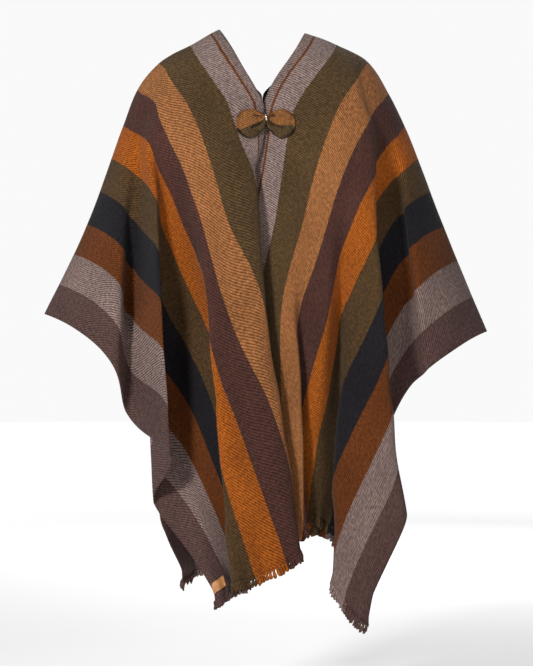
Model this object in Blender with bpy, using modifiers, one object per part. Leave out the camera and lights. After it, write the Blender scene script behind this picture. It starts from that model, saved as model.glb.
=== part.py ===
"""Open-front striped poncho in its worn, hollow form.

Two long woven panels hang over a general pair of shoulders and arms. Each panel is front and back
in one, folded at the ridge with no shoulder seam. They meet in a seam at the centre back and are
held at the throat by two cloth tabs and a metal ring. Every hem has a short self-fringe.

Metres, +Z up. The front faces -Y and the wearer's left is +X. The origin is the middle of the neck
at the height of the shoulder ridge, where the wearer holds the garment up.
"""
import bpy
import bmesh
import numpy as np
from math import pi
from mathutils import Vector
from mathutils.bvhtree import BVHTree

MM = 0.001

# Cloth
CLOTH = 0.0020
SEAM_GAP = 0.0004
SEAM_TOP = -0.112
SEAM_FLATTENING = 0.5

# Grid of a panel: columns across its width, rows from the ridge down to one hem
COLUMNS = 20
ROWS = 24

# Fringe
LOCKS_PER_COLUMN = 2
LOCK_SHARE = 0.22
LOCK_MARGIN = 0.20
LOCK_LENGTH = 0.019
LOCK_TAPER = 0.72
LOCK_VARIATION = 0.12
LOCK_VARIATION_STEP = 2.4
STRIP_HEIGHT = 0.0035
FRINGE_CLOTH = 0.0015
STRIP_INSET = 0.06
STRIP_GAP = 0.0008
STEEPEST_SLANT = 0.35

# General shoulder form: how deep the cloth stands before and behind the ridge
FRONT_DEPTH = 0.105
BACK_DEPTH = 0.100
SHOULDER_DROP = 0.120

# Levels where the place of a fold is given
LEVELS = {"top": -0.045, "chest": -0.190, "rib": -0.345, "waist": -0.550, "hip": -0.790, "hem": -1.040}

# Ridge of shoulder and arm. The last row carries the line on below the free end of the cloth.
# Columns: share of the panel's width, out (mm), up (mm)
RIDGE = {
    "right": (
        (0.00, -90, 3),
        (0.10, -143, -27),
        (0.20, -203, -60),
        (0.30, -245, -112),
        (0.40, -271, -178),
        (0.70, -339, -365),
        (1.00, -421, -536),
        (1.90, -700, -1079),
    ),
    "left": (
        (0.00, 73, -4),
        (0.10, 132, -26),
        (0.20, 191, -57),
        (0.30, 231, -118),
        (0.40, 261, -179),
        (0.70, 335, -369),
        (1.00, 418, -569),
        (1.78, 650, -1083),
    ),
}

# Neck edges. Columns: up (mm), out (mm)
FRONT_EDGE = {
    "right": ((3, -90), (-40, -64), (-78, -43), (-121, -17), (-147, -4), (-190, -1), (-1200, -1)),
    "left": ((-4, 73), (-37, 57), (-64, 41), (-95, 21), (-125, 6), (-160, -3), (-1200, -4)),
}
BACK_EDGE = {
    "right": ((3, -90), (-45, -60), (-89, -28), (-112, -8), (-1200, -8)),
    "left": ((-4, 73), (-40, 50), (-78, 22), (-112, -8), (-1200, -8)),
}

# Folds of the front, from the centre edge outwards.
# Columns: share of the width on the fold, out (mm) and fore-and-aft (mm), each at chest, rib, waist,
# hip and hem
FRONT_FOLDS = {
    "right": (
        ("edge", (0, 0, 0, 0, 0), (-3, -44, -70, -90, -90), (-103, -122, -130, -120, -100)),
        ("tuck", (.05, .11, .20, .28, .35), (-25, -14, 1, 38, 71), (-108, -140, -172, -192, -200)),
        ("face", (.15, .20, .30, .40, .475), (-91, -76, -65, -31, 3), (-125, -158, -195, -220, -235)),
        ("bright", (.22, .30, .385, .49, .60), (-139, -125, -104, -82, -62),
         (-130, -162, -205, -232, -250)),
        ("behind", (.255, .355, .44, .56, .75), (-163, -146, -91, -61, -33),
         (-122, -136, -172, -180, -150)),
        ("middle", (.285, .42, .55, .80, .95), (-182, -171, -143, -147, -75),
         (-108, -113, -116, -130, -205)),
        ("dip", (.32, .48, .66, .89, 1.18), (-201, -195, -206, -212, -184),
         (-103, -116, -130, -120, -180)),
        ("roll", (.365, .52, .74, .99, 1.24), (-215, -202, -189, -174, -162),
         (-90, -142, -196, -205, -225)),
        ("underarm", (.385, .575, .815, 1.07, 1.38), (-234, -240, -255, -256, -248),
         (-60, -78, -92, -92, -112)),
        ("sleeve", (.398, .612, .885, 1.18, 1.57), (-252, -266, -271, -288, -302),
         (-44, -88, -134, -132, -136)),
    ),
    "left": (
        ("edge", (0, 0, 0, 0, 0), (-10, -36, -62, -75, -50), (-94, -108, -110, -105, -90)),
        ("inner", (.105, .14, .27, .30, .35), (45, 40, 52, 66, 77), (-110, -126, -150, -170, -178)),
        ("trough", (.20, .235, .305, .37, .46), (117, 89, 58, 45, 52), (-124, -142, -133, -124, -120)),
        ("recess", (.23, .31, .40, .50, .60), (136, 124, 109, 91, 102), (-127, -150, -154, -144, -142)),
        ("shade", (.26, .36, .50, .61, .70), (156, 147, 135, 140, 144), (-127, -150, -118, -112, -108)),
        ("face", (.28, .41, .54, .675, .85), (170, 172, 156, 127, 124), (-126, -155, -150, -178, -215)),
        ("outer", (.31, .455, .64, .87, 1.17), (191, 199, 213, 233, 281), (-118, -148, -178, -207, -215)),
        ("dip", (.328, .49, .71, .965, 1.25), (199, 192, 199, 205, 252), (-92, -98, -100, -108, -122)),
        ("valley", (.368, .590, .853, 1.17, 1.50), (228, 245, 270, 284, 338), (-68, -76, -92, -98, -102)),
        ("sleeve", (.380, .612, .878, 1.20, 1.56), (240, 260, 288, 304, 356), (-60, -88, -120, -124, -120)),
    ),
}
# Folds of the back, from the ridge inwards to the centre seam. Same columns.
BACK_FOLDS = {
    "right": (
        ("sleeve", (.398, .612, .90, 1.22, 1.58), (-250, -262, -262, -262, -270), (42, 82, 122, 132, 140)),
        ("roll", (.355, .50, .72, .98, 1.22), (-212, -200, -198, -221, -236), (85, 130, 180, 215, 235)),
        ("dip", (.31, .44, .62, .86, 1.11), (-195, -188, -198, -210, -205), (95, 105, 116, 118, 118)),
        ("flute", (.24, .33, .45, .62, .80), (-150, -138, -122, -122, -116), (115, 152, 200, 242, 262)),
        ("hollow", (.17, .23, .32, .43, .55), (-108, -100, -100, -102, -96), (118, 132, 130, 114, 102)),
        ("centre", (.08, .11, .16, .22, .30), (-56, -54, -54, -54, -60), (115, 145, 182, 215, 240)),
        ("seam", (0, 0, 0, 0, 0), (-8, -8, -8, -8, -8), (108, 126, 132, 130, 125)),
    ),
    "left": (
        ("sleeve", (.39, .60, .88, 1.20, 1.55), (240, 252, 258, 260, 272), (45, 80, 118, 128, 134)),
        ("roll", (.355, .50, .72, .98, 1.22), (205, 194, 196, 222, 215), (85, 130, 176, 208, 228)),
        ("dip", (.31, .44, .62, .86, 1.08), (188, 182, 194, 202, 186), (95, 105, 114, 116, 114)),
        ("flute", (.24, .33, .45, .61, .80), (146, 130, 114, 108, 110), (115, 150, 194, 234, 254)),
        ("hollow", (.17, .23, .31, .42, .55), (100, 90, 86, 88, 88), (118, 132, 128, 112, 100)),
        ("centre", (.08, .11, .16, .22, .30), (44, 42, 42, 44, 50), (115, 143, 178, 210, 232)),
        ("seam", (0, 0, 0, 0, 0), (-8, -8, -8, -8, -8), (108, 126, 132, 130, 125)),
    ),
}

# Hems. Columns: share of the width, up (mm)
HEMS = {
    ("right", "front"): (
        (0, -912), (.20, -950), (.34, -971), (.40, -987), (.50, -1011), (.60, -1022), (.80, -1030),
        (.90, -1036), (1, -1060),
    ),
    ("left", "front"): (
        (0, -905), (.20, -935), (.30, -936), (.40, -922), (.50, -908), (.60, -926), (.70, -960),
        (.80, -1009), (.90, -1059), (1, -1100),
    ),
    ("right", "back"): ((0, -925), (.25, -955), (.50, -995), (.75, -1030), (.90, -1048), (1, -1066)),
    ("left", "back"): ((0, -925), (.25, -940), (.50, -952), (.75, -965), (.88, -990), (1, -1060)),
}

# Clasp
RING_PLACE = Vector((-0.0005, -0.1200, -0.1745))
RING_RADIUS = 0.0053
RING_WIRE = 0.0012
RING_FLATNESS = 0.62
NECK_HALF_HEIGHT = 0.0025
NECK_LENGTH = 0.0022
NECK_GAP = 0.0004
TAB_LENGTH = {"right": 0.055, "left": 0.053}
TAB_HALF_HEIGHT = 0.0265
TAB_CLOTH = 0.0026
TAB_CLEARANCE = 0.0007
TAB_RISE_LENGTH = 0.016
TAB_RISE_POWER = 1.5
TAB_SWELL_LENGTH = 0.55
TAB_SWELL_POWERS = (1.7, 0.8)
TAB_ROUND_FROM = 0.5
TAB_ROUND_LEAST = 0.04
TAB_SAG = 0.010
TAB_CELLS = (9, 8)

# Leather patch, sewn on near the front hem corner of the right panel
PATCH_WIDTH = 0.027
PATCH_HEIGHT = 0.020
PATCH_LEATHER = 0.0014
PATCH_FROM_HEM = 0.014
PATCH_FROM_EDGE = 0.0025


def clear_scene():
    for old in list(bpy.data.objects):
        bpy.data.objects.remove(old, do_unlink=True)


def material(name, colour, roughness, metallic=0.0):
    made = bpy.data.materials.new(name)
    made.use_nodes = True
    shader = made.node_tree.nodes["Principled BSDF"]
    shader.inputs["Base Color"].default_value = (*colour, 1)
    shader.inputs["Roughness"].default_value = roughness
    shader.inputs["Metallic"].default_value = metallic
    return made


# Smooth curves through table rows

def steady_slopes(x, y):
    """Slopes that keep a curve from passing beyond its rows."""
    step = np.diff(x)
    rise = np.diff(y) / step
    slope = np.empty(len(y))
    slope[0] = rise[0]
    slope[-1] = rise[-1]
    for i in range(1, len(x) - 1):
        if rise[i - 1] * rise[i] <= 0:
            slope[i] = 0
            continue
        before = 2 * step[i] + step[i - 1]
        after = step[i] + 2 * step[i - 1]
        slope[i] = (before + after) / (before / rise[i - 1] + after / rise[i])
    return slope


def round_slopes(x, y):
    """Slopes that round a curve off at its rows."""
    step = np.diff(x)
    rise = np.diff(y) / step
    slope = np.empty(len(y))
    slope[0] = rise[0]
    slope[-1] = rise[-1]
    slope[1:-1] = (rise[:-1] * step[1:] + rise[1:] * step[:-1]) / (step[:-1] + step[1:])
    return slope


def read_curve(x, y, slope, at):
    i = np.clip(np.searchsorted(x, at, side="right") - 1, 0, len(x) - 2)
    step = x[i + 1] - x[i]
    t = np.clip((at - x[i]) / step, 0, 1)
    near = (2 * t**3 - 3 * t**2 + 1) * y[i] + (t**3 - 2 * t**2 + t) * step * slope[i]
    far = (3 * t**2 - 2 * t**3) * y[i + 1] + (t**3 - t**2) * step * slope[i + 1]
    return near + far


def through(x, y, at):
    """Value at each place of the steady curve through the rows."""
    x = np.asarray(x, float)
    y = np.asarray(y, float)
    if x[0] > x[-1]:
        x = x[::-1]
        y = y[::-1]
    return read_curve(x, y, steady_slopes(x, y), np.atleast_1d(np.asarray(at, float)))


def unit(vectors):
    return vectors / np.linalg.norm(vectors, axis=-1, keepdims=True)


# Drape: level sections of one half, and the threads that run down over them

class Drape:
    """Half of the garment as level sections.

    The angle of a point is 0 at the front edge, a quarter turn at the ridge and half a turn at the
    back seam. The share of the panel's width there is the ridge's share times the angle's sine.
    """

    HEIGHTS = 220
    NEAR_RIDGE = 0.060
    NEAR_RIDGE_HEIGHTS = 40
    ANGLES = 541
    THREAD_POINTS = 600
    SECTION_POINTS = 700
    CHORD_POWER = 0.6
    SHORTEST_CHORD = 0.004
    LOWEST = -1.15

    def __init__(self, side):
        self.side = side
        self.ridge_share, self.ridge_out, self.ridge_up = np.array(RIDGE[side], float).T
        self.top = self.ridge_up[0] * MM
        near_ridge = self.top - np.linspace(0, 1, self.NEAR_RIDGE_HEIGHTS) ** 2 * self.NEAR_RIDGE
        below = np.linspace(near_ridge[-1], self.LOWEST, self.HEIGHTS)[1:]
        self.heights = np.concatenate([near_ridge, below])[::-1]
        self.angles = np.linspace(0, pi, self.ANGLES)
        self.share = through(self.ridge_up, self.ridge_share, self.heights / MM)
        self.ridge_x = through(self.ridge_up, self.ridge_out, self.heights / MM) * MM
        self.fill_sections()

    def plain(self, angle, height):
        """Shoulder form with no folds."""
        ridge_x = through(self.ridge_up, self.ridge_out, height / MM) * MM
        front_x = through(*np.array(FRONT_EDGE[self.side], float).T, height / MM) * MM
        back_x = through(*np.array(BACK_EDGE[self.side], float).T, height / MM) * MM
        drop = np.clip((self.top - height) / SHOULDER_DROP, 0, 1)
        rise = np.sqrt(1 - (1 - drop) ** 2)
        front = angle < pi / 2
        edge_x = np.where(front, front_x, back_x)
        depth = np.where(front, FRONT_DEPTH, BACK_DEPTH) * rise
        return edge_x + (ridge_x - edge_x) * np.sin(angle), -depth * np.cos(angle)

    def fold(self, row, back):
        """Angle and offset of a fold at every height; the fold fades out to nothing at the top."""
        shares, outs, deeps = row[1:]
        levels = np.array(list(LEVELS.values()))
        given = levels[1:]
        ridge = through(self.ridge_up, self.ridge_share, given / MM)
        angle = np.arcsin(np.minimum(np.array(shares) / ridge, 0.999))
        if back:
            angle = pi - angle
        plain_x, plain_y = self.plain(angle, given)
        out = np.concatenate([[0], np.array(outs) * MM - plain_x])
        deep = np.concatenate([[0], np.array(deeps) * MM - plain_y])
        angle = np.concatenate([[angle[0]], angle])
        return [through(levels, column, self.heights) for column in (angle, out, deep)]

    def fill_sections(self):
        rows = [self.fold(row, False) for row in FRONT_FOLDS[self.side]]
        rows.append([np.full(len(self.heights), pi / 2), self.heights * 0, self.heights * 0])
        rows += [self.fold(row, True) for row in BACK_FOLDS[self.side]]
        angle, out, deep = [np.array(column) for column in zip(*rows)]
        self.x = np.empty((len(self.heights), self.ANGLES))
        self.y = np.empty_like(self.x)
        for j, height in enumerate(self.heights):
            plain_x, plain_y = self.plain(angle[:, j], height)
            x = plain_x + out[:, j]
            y = plain_y + deep[:, j]
            self.x[j], self.y[j] = self.section(angle[:, j], x, y)

    def section(self, angle, x, y):
        """Curve through the folds of one level, read at even angles."""
        chord = np.maximum(np.hypot(np.diff(x), np.diff(y)), self.SHORTEST_CHORD) ** self.CHORD_POWER
        along = np.concatenate([[0], np.cumsum(chord)])
        slope_x = round_slopes(along, x)
        slope_y = round_slopes(along, y)
        slope_y[-1] = 0
        at = np.linspace(0, along[-1], self.SECTION_POINTS)
        turn = np.maximum.accumulate(read_curve(along, angle, steady_slopes(along, angle), at))
        turn = turn + np.linspace(0, 1e-9, len(turn))
        curve_x = read_curve(along, x, slope_x, at)
        curve_y = read_curve(along, y, slope_y, at)
        return np.interp(self.angles, turn, curve_x), np.interp(self.angles, turn, curve_y)

    def point(self, angle, height):
        row = np.clip(np.interp(height, self.heights, np.arange(len(self.heights))), 0,
                      len(self.heights) - 1.001)
        column = np.clip(angle / pi * (self.ANGLES - 1), 0, self.ANGLES - 1.001)
        j = row.astype(int)
        k = column.astype(int)
        up = row - j
        on = column - k

        def blend(table):
            low = (1 - on) * table[j, k] + on * table[j, k + 1]
            high = (1 - on) * table[j + 1, k] + on * table[j + 1, k + 1]
            return (1 - up) * low + up * high

        return np.stack([blend(self.x), blend(self.y), height], -1)

    def thread(self, share, face, count):
        """Evenly spaced points of one thread, from the ridge down to the hem of that face."""
        share = max(share, 1e-4)
        ridge = through(self.ridge_share, self.ridge_up, share)[0] * MM
        shares, ups = zip(*HEMS[self.side, face])
        hem = through(shares, ups, share)[0] * MM
        height = ridge - (ridge - hem) * np.linspace(0, 1, self.THREAD_POINTS) ** 2
        sine = np.minimum(share / np.maximum(np.interp(height, self.heights, self.share), 1e-9), 1)
        sine[0] = 1
        angle = np.arcsin(sine)
        if face == "back":
            angle = pi - angle
        path = self.point(angle, height)
        length = np.concatenate([[0], np.cumsum(np.linalg.norm(np.diff(path, axis=0), axis=1))])
        even = np.linspace(0, length[-1], count + 1)
        return np.stack([np.interp(even, length, path[:, i]) for i in range(3)], -1)


def panel_grid(side):
    """Corners and middles of a panel's cells, in rows from front hem over the ridge to back hem."""
    drape = Drape(side)
    columns = []
    for share in np.linspace(0, 1, 2 * COLUMNS + 1):
        front = drape.thread(share, "front", 2 * ROWS)
        back = drape.thread(share, "back", 2 * ROWS)
        columns.append(np.vstack([front[::-1], back[1:]]))
    fine = np.stack(columns, 1)
    grid = fine[::2, ::2]
    part_at_seam(grid, side)
    return grid, fine[1::2, 1::2]


def part_at_seam(grid, side):
    """Keep the back edges of the two panels a seam gap apart, measured between their walls."""
    sign = 1 if side == "left" else -1
    seam_x = BACK_EDGE[side][-1][1] * MM
    back = grid[ROWS:]
    sewn = back[:, 0, 2] < SEAM_TOP
    back[sewn, 1, 1] += (back[sewn, 0, 1] - back[sewn, 1, 1]) * SEAM_FLATTENING
    back[sewn, 0, 0] = seam_x
    across = back[:, 1] - back[:, 0]
    normal = unit(np.cross(across, np.gradient(back[:, 0], axis=0)))
    needed = SEAM_GAP / 2 + CLOTH / 2 * np.abs(normal[:, 0])
    reach = sign * (back[:, 0, 0] - seam_x)
    back[:, 0, 0] = seam_x + sign * np.maximum(reach, needed)


# Making objects

def laid_grid(points):
    """New shape with a vertex on each of the rows of points, and its vertices in that order."""
    rows, columns = points.shape[:2]
    shape = bmesh.new()
    bmesh.ops.create_grid(shape, x_segments=columns - 1, y_segments=rows - 1, size=1)
    ordered = sorted(shape.verts, key=lambda v: (round(v.co.y, 5), round(v.co.x, 5)))
    for vert, place in zip(ordered, points.reshape(-1, 3)):
        vert.co = place
    return shape, ordered


def finished_mesh(name, shape):
    mesh = bpy.data.meshes.new(name)
    shape.to_mesh(mesh)
    shape.free()
    return mesh


def sheet_mesh(name, grid):
    """Open surface of quads on a grid of points."""
    shape, ordered = laid_grid(grid)
    return finished_mesh(name, shape)


def creased_mesh(name, grid, middles):
    """Open surface on a grid, each cell halved along the diagonal that runs nearest its middle."""
    shape, ordered = laid_grid(grid)
    columns = grid.shape[1]
    for row, column in np.ndindex(*middles.shape[:2]):
        near = row * columns + column
        corners = [near, near + 1, near + columns, near + columns + 1]
        low_left, low_right, high_left, high_right = [ordered[corner] for corner in corners]
        middle = Vector(middles[row, column])
        rising = ((low_left.co + high_right.co) / 2 - middle).length
        falling = ((low_right.co + high_left.co) / 2 - middle).length
        ends = (low_left, high_right) if rising < falling else (low_right, high_left)
        bmesh.ops.connect_verts(shape, verts=ends)
    return finished_mesh(name, shape)


def add_object(name, mesh, look, home):
    piece = bpy.data.objects.new(name, mesh)
    mesh.materials.append(look)
    home.objects.link(piece)
    mesh.shade_smooth()
    return piece


def add_wall(piece, thickness):
    wall = piece.modifiers.new("Wall", "SOLIDIFY")
    wall.thickness = thickness
    wall.offset = 0
    return wall


def make_panel(side, look, home):
    grid, middles = panel_grid(side)
    name = "panel_" + side
    piece = add_object(name, creased_mesh(name, grid, middles), look, home)
    add_wall(piece, CLOTH)
    return grid


def lean_at(fall, cell):
    """How far the threads lean along the hem at each of its points: 0 square to it, 1 along it."""
    start = np.abs(np.sum(fall[:-1] * cell, axis=1))
    end = np.abs(np.sum(fall[1:] * cell, axis=1))
    lean = np.maximum(start, end)
    return np.maximum(np.append(lean, lean[-1]), np.append(lean[0], lean))


def bend_room(hem, above):
    """Extra room that the mitred wall of the panel takes at each column line of a slanting hem."""
    cell = unit(np.diff(hem, axis=0))
    turn = np.zeros(len(hem))
    turn[1:-1] = np.arccos(np.clip(np.sum(cell[:-1] * cell[1:], axis=1), -1, 1))
    return CLOTH * np.sin(turn / 2) * lean_at(unit(hem - above), cell)


def make_fringe(side, face, grid, look, home):
    """A narrow strip just off the hem, and its locks: a comb-shaped sheet given a wall."""
    name = "fringe_%s_%s" % (face, side)
    hem, above = (grid[0], grid[1]) if face == "front" else (grid[-1], grid[-2])
    shares = [STRIP_INSET]
    cell_is_lock = []
    pitch = (1 - 2 * LOCK_MARGIN - LOCK_SHARE) / (LOCKS_PER_COLUMN - 1)
    for column in range(COLUMNS):
        for lock in range(LOCKS_PER_COLUMN):
            start = column + LOCK_MARGIN + lock * pitch
            shares += [start, start + LOCK_SHARE]
            cell_is_lock += [False, True]
        shares.append(column + 1)
        cell_is_lock.append(False)
    shares = np.array(shares)
    shares[-1] -= STRIP_INSET
    steps = np.arange(COLUMNS + 1)

    def along(points):
        return np.stack([np.interp(shares, steps, points[:, i]) for i in range(3)], -1)

    fall = unit(along(hem - above))
    lean = lean_at(fall, unit(np.diff(along(hem), axis=0)))
    slant = np.sqrt(np.maximum(1 - lean ** 2, STEEPEST_SLANT ** 2))
    room = STRIP_GAP + np.interp(shares, steps, bend_room(hem, above))
    top = along(hem) + fall * (room / slant)[:, None]
    base = top + fall * STRIP_HEIGHT
    shape, ordered = laid_grid(np.stack([top, base]))
    low = ordered[len(shares):]
    for i, is_lock in enumerate(cell_is_lock):
        if not is_lock:
            continue
        edge = shape.edges.get((low[i], low[i + 1]))
        made = bmesh.ops.extrude_edge_only(shape, edges=[edge])
        ends = [item for item in made["geom"] if isinstance(item, bmesh.types.BMVert)]
        middle = (low[i].co + low[i + 1].co) / 2
        length = LOCK_LENGTH * (1 + LOCK_VARIATION * np.sin(LOCK_VARIATION_STEP * i))
        for end in ends:
            end.co = middle + (end.co - middle) * LOCK_TAPER + Vector(fall[i]) * length
    piece = add_object(name, finished_mesh(name, shape), look, home)
    add_wall(piece, FRINGE_CLOTH)


def front_surface():
    """Outer faces of the two panels as built, to seat things on."""
    graph = bpy.context.evaluated_depsgraph_get()
    return [BVHTree.FromObject(bpy.data.objects[name], graph) for name in ("panel_right", "panel_left")]


def seat_y(trees, x, z):
    """Foremost fore-and-aft place of the cloth at a point of the front view."""
    hits = [tree.ray_cast(Vector((x, -1, z)), Vector((0, 1, 0)))[0] for tree in trees]
    return min(hit.y for hit in hits if hit is not None)


def make_tab(side, trees, look, home):
    """Half-moon tab: gathered at the ring, round at its free end, lying on the front edge."""
    sign = 1 if side == "left" else -1
    across, up = TAB_CELLS
    length = TAB_LENGTH[side]
    swell_power, swell_round = TAB_SWELL_POWERS
    grid = np.empty((up + 1, across + 1, 3))
    for i in range(across + 1):
        run = max(i - 1, 0) / (across - 1)
        far = min(i, 1) * NECK_LENGTH + run * (length - NECK_LENGTH)
        swell = (1 - (1 - min(run / TAB_SWELL_LENGTH, 1)) ** swell_power) ** swell_round
        end = max((run - TAB_ROUND_FROM) / (1 - TAB_ROUND_FROM), 0)
        rounding = np.sqrt(max(1 - end ** 2, TAB_ROUND_LEAST))
        half = NECK_HALF_HEIGHT + (TAB_HALF_HEIGHT - NECK_HALF_HEIGHT) * swell * rounding
        lift = max(1 - run * length / TAB_RISE_LENGTH, 0) ** TAB_RISE_POWER
        for j in range(up + 1):
            tall = 2 * j / up - 1
            x = RING_PLACE.x + sign * (NECK_GAP + far)
            z = RING_PLACE.z + tall * half - TAB_SAG * swell
            lying = seat_y(trees, x, z) - TAB_CLEARANCE - TAB_CLOTH / 2
            y = lying + (RING_PLACE.y - lying) * lift if lift > 0 else lying
            grid[j, i] = (x, y, z)
    piece = add_object("tab_" + side, sheet_mesh("tab_" + side, grid), look, home)
    add_wall(piece, TAB_CLOTH)


def make_ring(look, home):
    bpy.ops.mesh.primitive_torus_add(major_radius=RING_RADIUS, minor_radius=RING_WIRE, major_segments=20,
                                     minor_segments=8, location=RING_PLACE, rotation=(0, pi / 2, 0))
    ring = bpy.context.active_object
    ring.name = "clasp_ring"
    ring.data.name = "clasp_ring"
    bpy.ops.object.transform_apply(location=False, rotation=True, scale=False)
    ring.scale = (1, RING_FLATNESS, 1)
    bpy.ops.object.transform_apply(location=False, rotation=False, scale=True)
    ring.data.materials.append(look)
    ring.data.shade_smooth()
    for owner in list(ring.users_collection):
        owner.objects.unlink(ring)
    home.objects.link(ring)


def make_patch(grid, look, home):
    """Leather patch made from the last cell of the right panel's front hem, moved out."""
    corner = grid[0:2, COLUMNS - 1:COLUMNS + 1]
    across = np.linalg.norm(corner[0, 1] - corner[0, 0])
    down = np.linalg.norm(corner[0, 1] - corner[1, 1])
    u_far = 1 - PATCH_FROM_EDGE / across
    u_near = u_far - PATCH_WIDTH / across
    v_low = PATCH_FROM_HEM / down
    v_high = v_low + PATCH_HEIGHT / down
    spots = np.empty((2, 2, 3))
    for j, v in enumerate((v_low, v_high)):
        for i, u in enumerate((u_near, u_far)):
            low = corner[0, 0] * (1 - u) + corner[0, 1] * u
            high = corner[1, 0] * (1 - u) + corner[1, 1] * u
            spots[j, i] = low * (1 - v) + high * v
    normal = np.cross(spots[0, 1] - spots[0, 0], spots[1, 0] - spots[0, 0])
    normal = normal / np.linalg.norm(normal)
    if normal[1] > 0:
        normal = -normal
    spots += normal * (CLOTH / 2 + SEAM_GAP + PATCH_LEATHER / 2)
    piece = add_object("label_patch", sheet_mesh("label_patch", spots), look, home)
    add_wall(piece, PATCH_LEATHER)


def main():
    clear_scene()
    home = bpy.data.collections.new("poncho")
    bpy.context.scene.collection.children.link(home)
    wool = {"right": material("wool_right", (0.20, 0.08, 0.03), 0.9),
            "left": material("wool_left", (0.16, 0.07, 0.04), 0.9)}
    fringe_wool = material("fringe_wool", (0.09, 0.05, 0.04), 0.9)
    camel = material("tab_wool", (0.30, 0.12, 0.04), 0.9)
    metal = material("ring_metal", (0.75, 0.74, 0.72), 0.25, 1.0)
    leather = material("patch_leather", (0.50, 0.22, 0.07), 0.6)
    grids = {side: make_panel(side, wool[side], home) for side in ("right", "left")}
    for side in ("right", "left"):
        for face in ("front", "back"):
            make_fringe(side, face, grids[side], fringe_wool, home)
    trees = front_surface()
    for side in ("right", "left"):
        make_tab(side, trees, camel, home)
    make_ring(metal, home)
    make_patch(grids["right"], leather, home)


main()
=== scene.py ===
"""Looks of the open-front striped poncho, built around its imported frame.

Every panel is a thin shell on the same drape as its solid, with finer rows, creases and weave. The
tables of the drape are the source's own, in the same frame: metres, +Z up, the front facing -Y.
"""
from math import cos, pi, sin

import bmesh
import bpy
import numpy as np
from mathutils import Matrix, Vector
from mathutils.bvhtree import BVHTree


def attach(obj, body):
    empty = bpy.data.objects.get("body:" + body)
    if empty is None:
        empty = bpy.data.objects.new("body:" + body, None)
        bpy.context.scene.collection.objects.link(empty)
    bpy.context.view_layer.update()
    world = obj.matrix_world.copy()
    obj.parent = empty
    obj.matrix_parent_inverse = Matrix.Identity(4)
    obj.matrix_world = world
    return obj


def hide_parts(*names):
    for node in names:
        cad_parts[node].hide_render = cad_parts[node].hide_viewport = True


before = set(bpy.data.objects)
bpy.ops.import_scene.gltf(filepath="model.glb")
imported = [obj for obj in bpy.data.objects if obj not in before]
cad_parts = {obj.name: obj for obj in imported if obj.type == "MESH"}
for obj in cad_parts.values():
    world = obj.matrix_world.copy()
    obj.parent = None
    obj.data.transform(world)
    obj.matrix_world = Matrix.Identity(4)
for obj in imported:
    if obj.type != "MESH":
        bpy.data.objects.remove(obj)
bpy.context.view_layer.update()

MM = 0.001

# Cloth as woven: ten stripes across each panel
PANEL_WIDTH = 0.660
CLOTH = 0.0020
SEAM_GAP = 0.0004
SEAM_TOP = -0.112
SEAM_THREADS = 4

# Grid of a panel: one thread for each fringe lock, rows from the ridge down to one hem
THREADS = 110
ROWS = 150

# General shoulder form: how deep the cloth stands before and behind the ridge
FRONT_DEPTH = 0.105
BACK_DEPTH = 0.100
SHOULDER_DROP = 0.120

# Levels where the place of a fold is given
LEVELS = {"top": -0.045, "chest": -0.190, "rib": -0.345, "waist": -0.550, "hip": -0.790, "hem": -1.040}

# Ridge of shoulder and arm. The last row carries the line on below the free end of the cloth.
# Columns: share of the panel's width, out (mm), up (mm)
RIDGE = {
    "right": (
        (0.00, -90, 3),
        (0.10, -143, -27),
        (0.20, -203, -60),
        (0.30, -245, -112),
        (0.40, -271, -178),
        (0.70, -339, -365),
        (1.00, -421, -536),
        (1.90, -700, -1079),
    ),
    "left": (
        (0.00, 73, -4),
        (0.10, 132, -26),
        (0.20, 191, -57),
        (0.30, 231, -118),
        (0.40, 261, -179),
        (0.70, 335, -369),
        (1.00, 418, -569),
        (1.78, 650, -1083),
    ),
}

# Neck edges. Columns: up (mm), out (mm)
FRONT_EDGE = {
    "right": ((3, -90), (-40, -64), (-78, -43), (-121, -17), (-147, -4), (-190, -1), (-1200, -1)),
    "left": ((-4, 73), (-37, 57), (-64, 41), (-95, 21), (-125, 6), (-160, -3), (-1200, -4)),
}
BACK_EDGE = {
    "right": ((3, -90), (-45, -60), (-89, -28), (-112, -8), (-1200, -8)),
    "left": ((-4, 73), (-40, 50), (-78, 22), (-112, -8), (-1200, -8)),
}

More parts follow.
